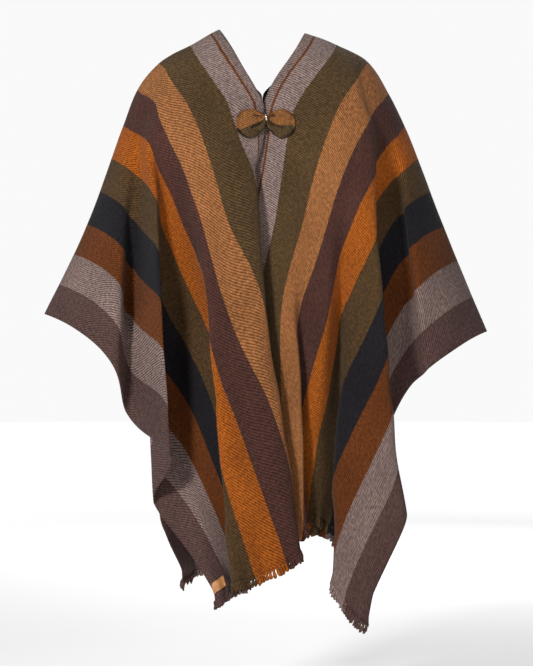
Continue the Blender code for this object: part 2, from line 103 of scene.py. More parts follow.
# Folds of the front, from the centre edge outwards.
# Columns: share of the width on the fold, out (mm) and fore-and-aft (mm), each at chest, rib, waist,
# hip and hem
FRONT_FOLDS = {
    "right": (
        ("edge", (0, 0, 0, 0, 0), (-3, -44, -70, -90, -90), (-103, -122, -130, -120, -100)),
        ("tuck", (.05, .11, .20, .28, .35), (-25, -14, 1, 38, 71), (-108, -140, -172, -192, -200)),
        ("face", (.15, .20, .30, .40, .475), (-91, -76, -65, -31, 3), (-125, -158, -195, -220, -235)),
        ("bright", (.22, .30, .385, .49, .60), (-139, -125, -104, -82, -62),
         (-130, -162, -205, -232, -250)),
        ("behind", (.255, .355, .44, .56, .75), (-163, -146, -91, -61, -33),
         (-122, -136, -172, -180, -150)),
        ("middle", (.285, .42, .55, .80, .95), (-182, -171, -143, -147, -75),
         (-108, -113, -116, -130, -205)),
        ("dip", (.32, .48, .66, .89, 1.18), (-201, -195, -206, -212, -184),
         (-103, -116, -130, -120, -180)),
        ("roll", (.365, .52, .74, .99, 1.24), (-215, -202, -189, -174, -162),
         (-90, -142, -196, -205, -225)),
        ("underarm", (.385, .575, .815, 1.07, 1.38), (-234, -240, -255, -256, -248),
         (-60, -78, -92, -92, -112)),
        ("sleeve", (.398, .612, .885, 1.18, 1.57), (-252, -266, -271, -288, -302),
         (-44, -88, -134, -132, -136)),
    ),
    "left": (
        ("edge", (0, 0, 0, 0, 0), (-10, -36, -62, -75, -50), (-94, -108, -110, -105, -90)),
        ("inner", (.105, .14, .27, .30, .35), (45, 40, 52, 66, 77), (-110, -126, -150, -170, -178)),
        ("trough", (.20, .235, .305, .37, .46), (117, 89, 58, 45, 52), (-124, -142, -133, -124, -120)),
        ("recess", (.23, .31, .40, .50, .60), (136, 124, 109, 91, 102), (-127, -150, -154, -144, -142)),
        ("shade", (.26, .36, .50, .61, .70), (156, 147, 135, 140, 144), (-127, -150, -118, -112, -108)),
        ("face", (.28, .41, .54, .675, .85), (170, 172, 156, 127, 124), (-126, -155, -150, -178, -215)),
        ("outer", (.31, .455, .64, .87, 1.17), (191, 199, 213, 233, 281), (-118, -148, -178, -207, -215)),
        ("dip", (.328, .49, .71, .965, 1.25), (199, 192, 199, 205, 252), (-92, -98, -100, -108, -122)),
        ("valley", (.368, .590, .853, 1.17, 1.50), (228, 245, 270, 284, 338), (-68, -76, -92, -98, -102)),
        ("sleeve", (.380, .612, .878, 1.20, 1.56), (240, 260, 288, 304, 356), (-60, -88, -120, -124, -120)),
    ),
}
# Folds of the back, from the ridge inwards to the centre seam. Same columns.
BACK_FOLDS = {
    "right": (
        ("sleeve", (.398, .612, .90, 1.22, 1.58), (-250, -262, -262, -262, -270), (42, 82, 122, 132, 140)),
        ("roll", (.355, .50, .72, .98, 1.22), (-212, -200, -198, -221, -236), (85, 130, 180, 215, 235)),
        ("dip", (.31, .44, .62, .86, 1.11), (-195, -188, -198, -210, -205), (95, 105, 116, 118, 118)),
        ("flute", (.24, .33, .45, .62, .80), (-150, -138, -122, -122, -116), (115, 152, 200, 242, 262)),
        ("hollow", (.17, .23, .32, .43, .55), (-108, -100, -100, -102, -96), (118, 132, 130, 114, 102)),
        ("centre", (.08, .11, .16, .22, .30), (-56, -54, -54, -54, -60), (115, 145, 182, 215, 240)),
        ("seam", (0, 0, 0, 0, 0), (-8, -8, -8, -8, -8), (108, 126, 132, 130, 125)),
    ),
    "left": (
        ("sleeve", (.39, .60, .88, 1.20, 1.55), (240, 252, 258, 260, 272), (45, 80, 118, 128, 134)),
        ("roll", (.355, .50, .72, .98, 1.22), (205, 194, 196, 222, 215), (85, 130, 176, 208, 228)),
        ("dip", (.31, .44, .62, .86, 1.08), (188, 182, 194, 202, 186), (95, 105, 114, 116, 114)),
        ("flute", (.24, .33, .45, .61, .80), (146, 130, 114, 108, 110), (115, 150, 194, 234, 254)),
        ("hollow", (.17, .23, .31, .42, .55), (100, 90, 86, 88, 88), (118, 132, 128, 112, 100)),
        ("centre", (.08, .11, .16, .22, .30), (44, 42, 42, 44, 50), (115, 143, 178, 210, 232)),
        ("seam", (0, 0, 0, 0, 0), (-8, -8, -8, -8, -8), (108, 126, 132, 130, 125)),
    ),
}

# Hems. Columns: share of the width, up (mm)
HEMS = {
    ("right", "front"): (
        (0, -912), (.20, -950), (.34, -971), (.40, -987), (.50, -1011), (.60, -1022), (.80, -1030),
        (.90, -1036), (1, -1060),
    ),
    ("left", "front"): (
        (0, -905), (.20, -935), (.30, -936), (.40, -922), (.50, -908), (.60, -926), (.70, -960),
        (.80, -1009), (.90, -1059), (1, -1100),
    ),
    ("right", "back"): ((0, -925), (.25, -955), (.50, -995), (.75, -1030), (.90, -1048), (1, -1066)),
    ("left", "back"): ((0, -925), (.25, -940), (.50, -952), (.75, -965), (.88, -990), (1, -1060)),
}

# Clasp
RING_PLACE = Vector((-0.0005, -0.1200, -0.1745))
RING_RADIUS = 0.0053
RING_WIRE = 0.0012
RING_FLATNESS = 0.62
RING_TILT = -0.13
NECK_HALF_HEIGHT = 0.0025
NECK_GAP = 0.0004
TAB_LENGTH = {"right": 0.055, "left": 0.053}
TAB_HALF_HEIGHT = 0.0265
TAB_CLOTH = 0.0026
TAB_CLEARANCE = 0.0007
TAB_RISE_LENGTH = 0.016
TAB_RISE_POWER = 1.5
TAB_SWELL_LENGTH = 0.55
TAB_SWELL_POWERS = (1.7, 0.8)
TAB_ROUND_FROM = 0.5
TAB_ROUND_LEAST = 0.04
TAB_SAG = 0.010

# Smooth curves through table rows

def steady_slopes(x, y):
    """Slopes that keep a curve from passing beyond its rows."""
    step = np.diff(x)
    rise = np.diff(y) / step
    slope = np.empty(len(y))
    slope[0] = rise[0]
    slope[-1] = rise[-1]
    for i in range(1, len(x) - 1):
        if rise[i - 1] * rise[i] <= 0:
            slope[i] = 0
            continue
        before = 2 * step[i] + step[i - 1]
        after = step[i] + 2 * step[i - 1]
        slope[i] = (before + after) / (before / rise[i - 1] + after / rise[i])
    return slope


def round_slopes(x, y):
    """Slopes that round a curve off at its rows."""
    step = np.diff(x)
    rise = np.diff(y) / step
    slope = np.empty(len(y))
    slope[0] = rise[0]
    slope[-1] = rise[-1]
    slope[1:-1] = (rise[:-1] * step[1:] + rise[1:] * step[:-1]) / (step[:-1] + step[1:])
    return slope


def read_curve(x, y, slope, at):
    i = np.clip(np.searchsorted(x, at, side="right") - 1, 0, len(x) - 2)
    step = x[i + 1] - x[i]
    t = np.clip((at - x[i]) / step, 0, 1)
    near = (2 * t**3 - 3 * t**2 + 1) * y[i] + (t**3 - 2 * t**2 + t) * step * slope[i]
    far = (3 * t**2 - 2 * t**3) * y[i + 1] + (t**3 - t**2) * step * slope[i + 1]
    return near + far


def through(x, y, at):
    """Value at each place of the steady curve through the rows."""
    x = np.asarray(x, float)
    y = np.asarray(y, float)
    if x[0] > x[-1]:
        x = x[::-1]
        y = y[::-1]
    return read_curve(x, y, steady_slopes(x, y), np.atleast_1d(np.asarray(at, float)))


def unit(vectors):
    return vectors / np.linalg.norm(vectors, axis=-1, keepdims=True)


# Drape: level sections of one half, and the threads that run down over them

class Drape:
    """Half of the garment as level sections.

    The angle of a point is 0 at the front edge, a quarter turn at the ridge and half a turn at the
    back seam. The share of the panel's width there is the ridge's share times the angle's sine.
    """

    HEIGHTS = 220
    NEAR_RIDGE = 0.060
    NEAR_RIDGE_HEIGHTS = 40
    ANGLES = 541
    THREAD_POINTS = 600
    SECTION_POINTS = 700
    CHORD_POWER = 0.6
    SHORTEST_CHORD = 0.004
    LOWEST = -1.15

    def __init__(self, side):
        self.side = side
        self.ridge_share, self.ridge_out, self.ridge_up = np.array(RIDGE[side], float).T
        self.top = self.ridge_up[0] * MM
        near_ridge = self.top - np.linspace(0, 1, self.NEAR_RIDGE_HEIGHTS) ** 2 * self.NEAR_RIDGE
        below = np.linspace(near_ridge[-1], self.LOWEST, self.HEIGHTS)[1:]
        self.heights = np.concatenate([near_ridge, below])[::-1]
        self.angles = np.linspace(0, pi, self.ANGLES)
        self.share = through(self.ridge_up, self.ridge_share, self.heights / MM)
        self.ridge_x = through(self.ridge_up, self.ridge_out, self.heights / MM) * MM
        self.fill_sections()

    def plain(self, angle, height):
        """Shoulder form with no folds."""
        ridge_x = through(self.ridge_up, self.ridge_out, height / MM) * MM
        front_x = through(*np.array(FRONT_EDGE[self.side], float).T, height / MM) * MM
        back_x = through(*np.array(BACK_EDGE[self.side], float).T, height / MM) * MM
        drop = np.clip((self.top - height) / SHOULDER_DROP, 0, 1)
        rise = np.sqrt(1 - (1 - drop) ** 2)
        front = angle < pi / 2
        edge_x = np.where(front, front_x, back_x)
        depth = np.where(front, FRONT_DEPTH, BACK_DEPTH) * rise
        return edge_x + (ridge_x - edge_x) * np.sin(angle), -depth * np.cos(angle)

    def fold(self, row, back):
        """Angle and offset of a fold at every height; the fold fades out to nothing at the top."""
        shares, outs, deeps = row[1:]
        levels = np.array(list(LEVELS.values()))
        given = levels[1:]
        ridge = through(self.ridge_up, self.ridge_share, given / MM)
        angle = np.arcsin(np.minimum(np.array(shares) / ridge, 0.999))
        if back:
            angle = pi - angle
        plain_x, plain_y = self.plain(angle, given)
        out = np.concatenate([[0], np.array(outs) * MM - plain_x])
        deep = np.concatenate([[0], np.array(deeps) * MM - plain_y])
        angle = np.concatenate([[angle[0]], angle])
        return [through(levels, column, self.heights) for column in (angle, out, deep)]

    def fill_sections(self):
        rows = [self.fold(row, False) for row in FRONT_FOLDS[self.side]]
        rows.append([np.full(len(self.heights), pi / 2), self.heights * 0, self.heights * 0])
        rows += [self.fold(row, True) for row in BACK_FOLDS[self.side]]
        angle, out, deep = [np.array(column) for column in zip(*rows)]
        self.x = np.empty((len(self.heights), self.ANGLES))
        self.y = np.empty_like(self.x)
        for j, height in enumerate(self.heights):
            plain_x, plain_y = self.plain(angle[:, j], height)
            x = plain_x + out[:, j]
            y = plain_y + deep[:, j]
            self.x[j], self.y[j] = self.section(angle[:, j], x, y)

    def section(self, angle, x, y):
        """Curve through the folds of one level, read at even angles."""
        chord = np.maximum(np.hypot(np.diff(x), np.diff(y)), self.SHORTEST_CHORD) ** self.CHORD_POWER
        along = np.concatenate([[0], np.cumsum(chord)])
        slope_x = round_slopes(along, x)
        slope_y = round_slopes(along, y)
        slope_y[-1] = 0
        at = np.linspace(0, along[-1], self.SECTION_POINTS)
        turn = np.maximum.accumulate(read_curve(along, angle, steady_slopes(along, angle), at))
        turn = turn + np.linspace(0, 1e-9, len(turn))
        curve_x = read_curve(along, x, slope_x, at)
        curve_y = read_curve(along, y, slope_y, at)
        return np.interp(self.angles, turn, curve_x), np.interp(self.angles, turn, curve_y)

    def point(self, angle, height):
        row = np.clip(np.interp(height, self.heights, np.arange(len(self.heights))), 0,
                      len(self.heights) - 1.001)
        column = np.clip(angle / pi * (self.ANGLES - 1), 0, self.ANGLES - 1.001)
        j = row.astype(int)
        k = column.astype(int)
        up = row - j
        on = column - k

        def blend(table):
            low = (1 - on) * table[j, k] + on * table[j, k + 1]
            high = (1 - on) * table[j + 1, k] + on * table[j + 1, k + 1]
            return (1 - up) * low + up * high

        return np.stack([blend(self.x), blend(self.y), height], -1)

    def thread(self, share, face, count):
        """Evenly spaced points of one thread, from the ridge down to the hem of that face."""
        share = max(share, 1e-4)
        ridge = through(self.ridge_share, self.ridge_up, share)[0] * MM
        shares, ups = zip(*HEMS[self.side, face])
        hem = through(shares, ups, share)[0] * MM
        height = ridge - (ridge - hem) * np.linspace(0, 1, self.THREAD_POINTS) ** 2
        sine = np.minimum(share / np.maximum(np.interp(height, self.heights, self.share), 1e-9), 1)
        sine[0] = 1
        angle = np.arcsin(sine)
        if face == "back":
            angle = pi - angle
        path = self.point(angle, height)
        length = np.concatenate([[0], np.cumsum(np.linalg.norm(np.diff(path, axis=0), axis=1))])
        even = np.linspace(0, length[-1], count + 1)
        return np.stack([np.interp(even, length, path[:, i]) for i in range(3)], -1)


def thread_grid(side):
    """Points of a panel's middle surface: rows from front hem over the ridge to back hem."""
    drape = Drape(side)
    columns = []
    for share in np.linspace(0, 1, THREADS + 1):
        front = drape.thread(share, "front", ROWS)
        back = drape.thread(share, "back", ROWS)
        columns.append(np.vstack([front[::-1], back[1:]]))
    grid = np.stack(columns, 1)
    part_at_seam(grid, side)
    return grid


def part_at_seam(grid, side):
    """Keep the back edges of the two panels a seam gap apart, measured between their walls."""
    sign = 1 if side == "left" else -1
    seam_x = BACK_EDGE[side][-1][1] * MM
    back = grid[ROWS:]
    sewn = back[:, 0, 2] < SEAM_TOP
    back[sewn, 0, 0] = seam_x
    across = back[:, SEAM_THREADS] - back[:, 0]
    normal = unit(np.cross(across, np.gradient(back[:, 0], axis=0)))
    needed = (SEAM_GAP + CLOTH * np.abs(normal[:, 0])) / 2
    reach = sign * (back[sewn, :SEAM_THREADS, 0] - seam_x)
    back[sewn, :SEAM_THREADS, 0] = seam_x + sign * np.maximum(reach, needed[sewn, None])


def outward(grid):
    """Unit normals of a panel's grid, pointing out of the garment."""
    across = np.gradient(grid, axis=1)
    along = np.gradient(grid, axis=0)
    normal = unit(np.cross(across, along))
    middle = normal[ROWS // 2, THREADS // 4]
    return normal if middle[1] < 0 else -normal


# Making meshes

def sheet_object(name, grid, cloth_u, cloth_v, look, thickness):
    """A sheet on a grid of points, with its place on the cloth in metres as a UV map."""
    rows, columns = grid.shape[:2]
    shape = bmesh.new()
    bmesh.ops.create_grid(shape, x_segments=columns - 1, y_segments=rows - 1, size=1)
    ordered = sorted(shape.verts, key=lambda v: (round(v.co.y, 5), round(v.co.x, 5)))
    layer = shape.loops.layers.uv.new("Cloth")
    for vert, place in zip(ordered, grid.reshape(-1, 3)):
        vert.co = place
    cloth = np.stack([cloth_u, cloth_v], -1).reshape(-1, 2)
    number = {vert: i for i, vert in enumerate(ordered)}
    for face in shape.faces:
        face.smooth = True
        for loop in face.loops:
            loop[layer].uv = cloth[number[loop.vert]]
    mesh = bpy.data.meshes.new(name)
    shape.to_mesh(mesh)
    shape.free()
    mesh.materials.append(look)
    piece = bpy.data.objects.new(name, mesh)
    bpy.context.scene.collection.objects.link(piece)
    if thickness:
        wall = piece.modifiers.new("Wall", "SOLIDIFY")
        wall.thickness = thickness
        wall.offset = 0
    return piece


# Creases of the cloth, in the front view. Columns (mm): out and up of each end, half width, height
# out of the cloth (less than 0 for a trough)
FRONT_CREASES = (
    (60, -168, 118, -150, 6, -3.0), (56, -180, 106, -192, 6, -2.5), (50, -192, 86, -228, 6, -2.5),
    (-60, -170, -112, -146, 7, -2.5), (-56, -186, -100, -212, 7, -2.5), (-212, -88, -184, -122, 9, -6.0),
    (-250, -290, -256, -560, 8, -9.0), (238, -250, 270, -540, 8, -12.0), (256, -280, 290, -600, 9, 3.0),
    (137, -588, 148, -612, 4, -2.0), (134, -645, 156, -655, 4, -2.0), (96, -800, 104, -960, 12, -4.0),
    (-150, -300, -118, -392, 12, 2.5), (150, -250, 118, -345, 12, 2.5), (-40, -560, 14, -700, 16, 2.5),
    (-95, -700, -40, -860, 18, 3.0), (-30, -770, 20, -930, 14, -2.5), (140, -700, 128, -880, 14, 3.0),
    (180, -780, 170, -930, 16, -3.0), (-150, -830, -110, -980, 16, 3.0), (190, -960, 176, -1040, 12, 3.0),
)
BACK_CREASES = (
    (-200, -120, -150, -230, 14, -3.0), (190, -130, 145, -240, 14, -3.0), (-300, -300, -245, -400, 15, 4.0),
    (310, -300, 250, -400, 15, 4.0), (-70, -180, -50, -330, 12, -2.5), (60, -190, 40, -340, 12, -2.5),
    (-150, -520, -140, -690, 16, 3.0), (150, -540, 138, -720, 16, 3.0), (-90, -760, -80, -930, 14, -3.0),
    (90, -780, 82, -950, 14, -3.0), (-200, -820, -210, -960, 16, 3.0), (210, -830, 214, -970, 16, 3.0),
    (-30, -600, -34, -760, 12, 2.5), (24, -640, 26, -800, 12, 2.5),
)
RIPPLE = 0.0009
SEAM_CALM = 0.03
RIDGE_CALM = 0.05
HEM_WAVE = 0.0030
HEM_WAVE_LENGTH = 0.052
HEM_WAVE_REACH = 0.110


def crease(grid, normal, side):
    """Move the cloth along its normals: listed creases, slight unevenness, and a wavy hem.

    The centre seam and the shoulder ridge stay where they are.
    """
    across, along = cloth_places(grid, side)
    moved = np.zeros(grid.shape[:2])
    front = np.arange(grid.shape[0]) < ROWS
    for rows, creases in ((front, FRONT_CREASES), (~front, BACK_CREASES)):
        x = grid[rows, :, 0] / MM
        z = grid[rows, :, 2] / MM
        for x0, z0, x1, z1, half, height in creases:
            away, share = to_segment(x, z, x0, z0, x1, z1)
            ends = np.sqrt(np.maximum(1 - (2 * share - 1) ** 4, 0))
            moved[rows] += height * MM * np.exp(-(away / half) ** 2) * ends
    uneven = np.sin(across * 71 + 1.3 * np.sin(along * 23)) + np.sin(along * 47 + 1.7 * np.sin(across * 31))
    moved += RIPPLE * uneven
    reach = np.abs(along)
    for rows in (slice(0, ROWS), slice(ROWS, None)):
        hem = reach[rows].max(axis=0)
        near = np.clip(1 - (hem - reach[rows]) / HEM_WAVE_REACH, 0, 1) ** 2
        wave = np.sin(2 * pi * across[rows] / HEM_WAVE_LENGTH + 2 * np.sin(across[rows] * 19))
        moved[rows] += HEM_WAVE * near * wave
    seam = np.clip(across / SEAM_CALM, 0, 1)
    ridge = np.clip(reach / RIDGE_CALM, 0, 1)
    return grid + normal * (moved * seam * ridge)[:, :, None]


def cloth_places(grid, side):
    """Place of each grid point on the flat cloth: metres across from the centre edge, metres along."""
    step = np.linalg.norm(np.diff(grid, axis=0), axis=2)
    along = np.vstack([np.zeros(grid.shape[1]), np.cumsum(step, axis=0)])
    along = along - along[ROWS]
    across = np.broadcast_to(np.linspace(0, PANEL_WIDTH, grid.shape[1]), along.shape)
    return across, along if side == "left" else -along


# Materials

class Nodes:
    """Short calls to wire up one material."""

    def __init__(self, name):
        self.material = bpy.data.materials.new(name)
        self.material.use_nodes = True
        self.tree = self.material.node_tree
        self.shader = self.tree.nodes["Principled BSDF"]

    def add(self, kind, **settings):
        node = self.tree.nodes.new(kind)
        for key, value in settings.items():
            setattr(node, key, value)
        return node

    def put(self, value, socket):
        if isinstance(value, bpy.types.NodeSocket):
            self.tree.links.new(value, socket)
        else:
            socket.default_value = value

    def set(self, **values):
        """Value or link for each of the shader's sockets, its name with _ for a space."""
        for name, value in values.items():
            self.put(value, self.shader.inputs[name.replace("_", " ")])

    def math(self, operation, first, second=0.0, clamp=False):
        node = self.add("ShaderNodeMath", operation=operation, use_clamp=clamp)
        self.put(first, node.inputs[0])
        self.put(second, node.inputs[1])
        return node.outputs[0]

    def ranged(self, value, low, high, new_low=0.0, new_high=1.0):
        node = self.add("ShaderNodeMapRange", interpolation_type="SMOOTHSTEP")
        for number, given in enumerate((value, low, high, new_low, new_high)):
            self.put(given, node.inputs[number])
        return node.outputs[0]

    def noise(self, place, scale, detail=2.0, distortion=0.0):
        node = self.add("ShaderNodeTexNoise")
        self.put(place, node.inputs["Vector"])
        self.put(scale, node.inputs["Scale"])
        self.put(detail, node.inputs["Detail"])
        self.put(distortion, node.inputs["Distortion"])
        return node.outputs["Fac"]

    def combined(self, x, y, z=0.0):
        node = self.add("ShaderNodeCombineXYZ")
        for number, value in enumerate((x, y, z)):
            self.put(value, node.inputs[number])
        return node.outputs[0]

    def mixed(self, share, first, second, blend="MIX"):
        node = self.add("ShaderNodeMix", data_type="RGBA", blend_type=blend)
        self.put(share, node.inputs[0])
        self.put(first, node.inputs[6])
        self.put(second, node.inputs[7])
        return node.outputs[2]

    def shaded(self, colour, shade):
        """The colour, darker or lighter by a factor."""
        return self.mixed(1.0, colour, self.combined(shade, shade, shade), "MULTIPLY")

    def steps(self, place, stops):
        """A colour for each stretch of a place from 0 to 1."""
        node = self.add("ShaderNodeValToRGB")
        band = node.color_ramp
        band.interpolation = "CONSTANT"
        while len(band.elements) < len(stops):
            band.elements.new(1.0)
        for element, (position, colour) in zip(band.elements, stops):
            element.position = position
            element.color = (*colour, 1)
        self.put(place, node.inputs[0])
        return node.outputs[0]

    def bump(self, height, distance, strength=1.0):
        node = self.add("ShaderNodeBump")
        self.put(height, node.inputs["Height"])
        self.put(distance, node.inputs["Distance"])
        self.put(strength, node.inputs["Strength"])
        self.put(node.outputs[0], self.shader.inputs["Normal"])


# Yarn colours (linear). Columns: share of the width where the stripe starts, ground, fleck
STRIPE_YARNS = (
    (0.000, (0.262, 0.188, 0.168), (0.043, 0.029, 0.027)),
    (0.024, (0.125, 0.038, 0.009), (0.070, 0.022, 0.007)),
    (0.033, (0.285, 0.203, 0.180), (0.055, 0.037, 0.034)),
    (0.100, (0.094, 0.054, 0.021), (0.030, 0.017, 0.008)),
    (0.200, (0.352, 0.142, 0.048), (0.100, 0.034, 0.011)),
    (0.300, (0.077, 0.031, 0.023), (0.031, 0.012, 0.010)),
    (0.400, (0.380, 0.097, 0.008), (0.110, 0.026, 0.004)),
    (0.500, (0.084, 0.046, 0.017), (0.026, 0.014, 0.007)),
    (0.600, (0.015, 0.013, 0.016), (0.004, 0.004, 0.005)),
    (0.700, (0.137, 0.037, 0.007), (0.050, 0.015, 0.004)),
    (0.800, (0.250, 0.172, 0.152), (0.050, 0.032, 0.030)),
    (0.900, (0.098, 0.054, 0.047), (0.038, 0.020, 0.018)),
)
PICK = 0.0030
PICK_STEP = 0.0012
EDGE_WANDER = 0.0016
TWILL_PITCH = 0.0041
TWILL_WOBBLE = 0.0016
TWILL_SLANT = {"right": 0.62, "left": 1.40}
WOBBLE_SCALE = 60.0
YARN_SCALES = (420.0, 190.0)
COARSE_SCALE = 150.0
LOOSE_SHARE = 0.62
BORDER = 0.0155
BORDER_PITCH = 0.0050
BORDER_DARKNESS = 0.40
DRIFT_SCALE = 9.0
WEAVE_RELIEF = 0.0009
WOOL = {"Roughness": 0.95, "Specular_IOR_Level": 0.12, "Sheen_Weight": 0.05, "Sheen_Roughness": 0.5}

# Cloth of the tabs: finer, with a ragged line between its two colours
TAB_FINENESS = 1.45
TAB_SLANT = 0.80
TAB_RAGGED = 0.0020
TAB_GROUND = {"olive": (0.092, 0.056, 0.022, 1), "camel": (0.270, 0.112, 0.034, 1)}
TAB_FLECK = {"olive": (0.030, 0.018, 0.009, 1), "camel": (0.095, 0.034, 0.011, 1)}


def woven(n, across, along, ground, fleck, slant):
    """Twill of two yarns: diagonal ribs, with flecks of the second yarn in the grooves."""
    rise = sin(slant)
    run = cos(slant)
    diagonal = n.math("ADD", n.math("MULTIPLY", along, rise), n.math("MULTIPLY", across, run))
    counter = n.math("SUBTRACT", n.math("MULTIPLY", along, run), n.math("MULTIPLY", across, rise))
    wobble = n.math("MULTIPLY", n.noise(n.combined(across, along), WOBBLE_SCALE), TWILL_WOBBLE)
    rib = n.math("PINGPONG", n.math("DIVIDE", n.math("ADD", diagonal, wobble), TWILL_PITCH), 0.5)
    rib = n.math("MULTIPLY", rib, 2.0)
    fine, long = YARN_SCALES
    streaks = n.combined(n.math("MULTIPLY", diagonal, fine), n.math("MULTIPLY", counter, long))
    yarn = n.noise(streaks, 1.0, 2.0)
    coarse = n.noise(n.combined(across, along), COARSE_SCALE, 3.0)
    depth = n.math("ADD", n.math("MULTIPLY", rib, 0.52), n.math("MULTIPLY", yarn, 0.75))
    share = n.ranged(depth, 0.36, 0.86, 0.06, 1.0)
    shade = n.ranged(coarse, 0.30, 0.70, 0.76, 1.24)
    colour = n.shaded(n.mixed(share, fleck, ground), shade)
    height = n.math("ADD", n.math("MULTIPLY", rib, 0.7), yarn)
    return colour, height


def make_wool(name, slant, loose=False):
    """Striped cloth, or with loose its fringe, where the second yarn shows less."""
    n = Nodes(name)
    place = n.add("ShaderNodeUVMap", uv_map="Cloth").outputs[0]
    split = n.add("ShaderNodeSeparateXYZ")
    n.put(place, split.inputs[0])
    across, along = split.outputs[0], split.outputs[1]
    step = n.math("PINGPONG", along, PICK)
    edge = n.math("MULTIPLY", step, PICK_STEP / PICK)
    wander = n.math("MULTIPLY", n.noise(place, WOBBLE_SCALE), EDGE_WANDER)
    shifted = n.math("ADD", n.math("ADD", across, edge), wander)
    middle = (PICK_STEP + EDGE_WANDER) / 2
    share = n.math("DIVIDE", n.math("SUBTRACT", shifted, middle), PANEL_WIDTH, clamp=True)
    ground = n.steps(share, [(start, yarn) for start, yarn, second in STRIPE_YARNS])
    fleck = n.steps(share, [(start, second) for start, yarn, second in STRIPE_YARNS])
    zigzag = n.math("PINGPONG", along, BORDER_PITCH)
    chevron = n.math("PINGPONG", n.math("ADD", across, zigzag), BORDER_PITCH / 2)
    dark = n.ranged(chevron, BORDER_PITCH * 0.30, BORDER_PITCH * 0.42, 0.0, BORDER_DARKNESS)
    in_border = n.math("LESS_THAN", across, BORDER)
    ground = n.mixed(n.math("MULTIPLY", dark, in_border), ground, fleck)
    if loose:
        fleck = n.mixed(LOOSE_SHARE, fleck, ground)
    colour, height = woven(n, across, along, ground, fleck, slant)
    drift = n.ranged(n.noise(place, DRIFT_SCALE, 3.0), 0.25, 0.75, 0.86, 1.12)
    n.set(Base_Color=n.shaded(colour, drift), **WOOL)
    n.bump(height, WEAVE_RELIEF, 0.9)
    return n.material


def make_tab_wool():
    """Camel above and olive below. The map holds the place out from the ring and above the division."""
    n = Nodes("wool_tabs")
    place = n.add("ShaderNodeUVMap", uv_map="Cloth").outputs[0]
    split = n.add("ShaderNodeSeparateXYZ")
    n.put(place, split.inputs[0])
    run, tall = split.outputs[0], split.outputs[1]
    ragged = n.math("MULTIPLY", n.noise(place, 500.0), TAB_RAGGED)
    upper = n.math("GREATER_THAN", n.math("ADD", tall, ragged), TAB_RAGGED / 2)
    ground = n.mixed(upper, TAB_GROUND["olive"], TAB_GROUND["camel"])
    fleck = n.mixed(upper, TAB_FLECK["olive"], TAB_FLECK["camel"])
    across = n.math("MULTIPLY", run, TAB_FINENESS)
    along = n.math("MULTIPLY", tall, TAB_FINENESS)
    colour, height = woven(n, across, along, ground, fleck, TAB_SLANT)
    n.set(Base_Color=colour, **WOOL)
    n.bump(height, WEAVE_RELIEF, 0.9)
    return n.material


def make_thread(name, colour):
    n = Nodes(name)
    place = n.add("ShaderNodeTexCoord").outputs["Object"]
    twist = n.noise(place, 900.0, 2.0)
    shade = n.ranged(twist, 0.3, 0.7, 0.6, 1.3)
    n.set(Base_Color=n.shaded((*colour, 1), shade), Roughness=0.9, Specular_IOR_Level=0.1)
    n.bump(twist, 0.0003, 0.6)
    return n.material


def make_metal():
    n = Nodes("ring_metal")
    place = n.add("ShaderNodeTexCoord").outputs["Object"]
    scratch = n.noise(place, 1400.0, 3.0)
    n.set(Base_Color=(0.80, 0.79, 0.77, 1), Metallic=1.0, Roughness=n.ranged(scratch, 0.3, 0.7, 0.16, 0.30))
    n.bump(scratch, 0.0001, 0.3)
    return n.material


def make_leather():
    n = Nodes("label_leather")
    place = n.add("ShaderNodeTexCoord").outputs["Object"]
    cloudy = n.noise(place, 90.0, 4.0)
    grain = n.noise(place, 1500.0, 3.0)
    tan = n.mixed(n.ranged(cloudy, 0.3, 0.7), (0.42, 0.175, 0.058, 1), (0.58, 0.265, 0.095, 1))
    pores = n.ranged(grain, 0.30, 0.55, 0.80, 1.0)
    rough = n.ranged(cloudy, 0.2, 0.8, 0.45, 0.62)
    n.set(Base_Color=n.shaded(tan, pores), Roughness=rough, Specular_IOR_Level=0.4)
    n.bump(grain, 0.0003, 0.5)
    return n.material


# Pieces

SLOT = {"right": "wool_right", "left": "wool_left"}


def dressed(piece, slot, *nodes):
    """The piece rides on the one body and stands for these solids."""
    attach(piece, "root")
    if nodes:
        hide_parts(*nodes)
    return piece


def make_panel(side, look):
    """The shell of one panel, with its grid and the grid's places on the cloth."""
    grid = thread_grid(side)
    grid = crease(grid, outward(grid), side)
    across, along = cloth_places(grid, side)
    piece = sheet_object("cloth_" + side, grid, across, along, look, CLOTH)
    dressed(piece, SLOT[side], "panel_" + side)
    return piece, grid, across, along


# Fringe locks
LOCK_RINGS = 6
LOCK_SIDES = 6
LOCK_REACH = 0.0185
LOCK_ROOT = 0.0030
LOCK_HALF_WIDTH = 0.0046
LOCK_HALF_DEPTH = 0.0030
LOCK_TWIST = 1.2
LOCK_TAPER = 0.35
LOCK_LEAN = {"front": 0.22, "back": -0.18}
LOCK_SEED = {"front": 11, "back": 23}


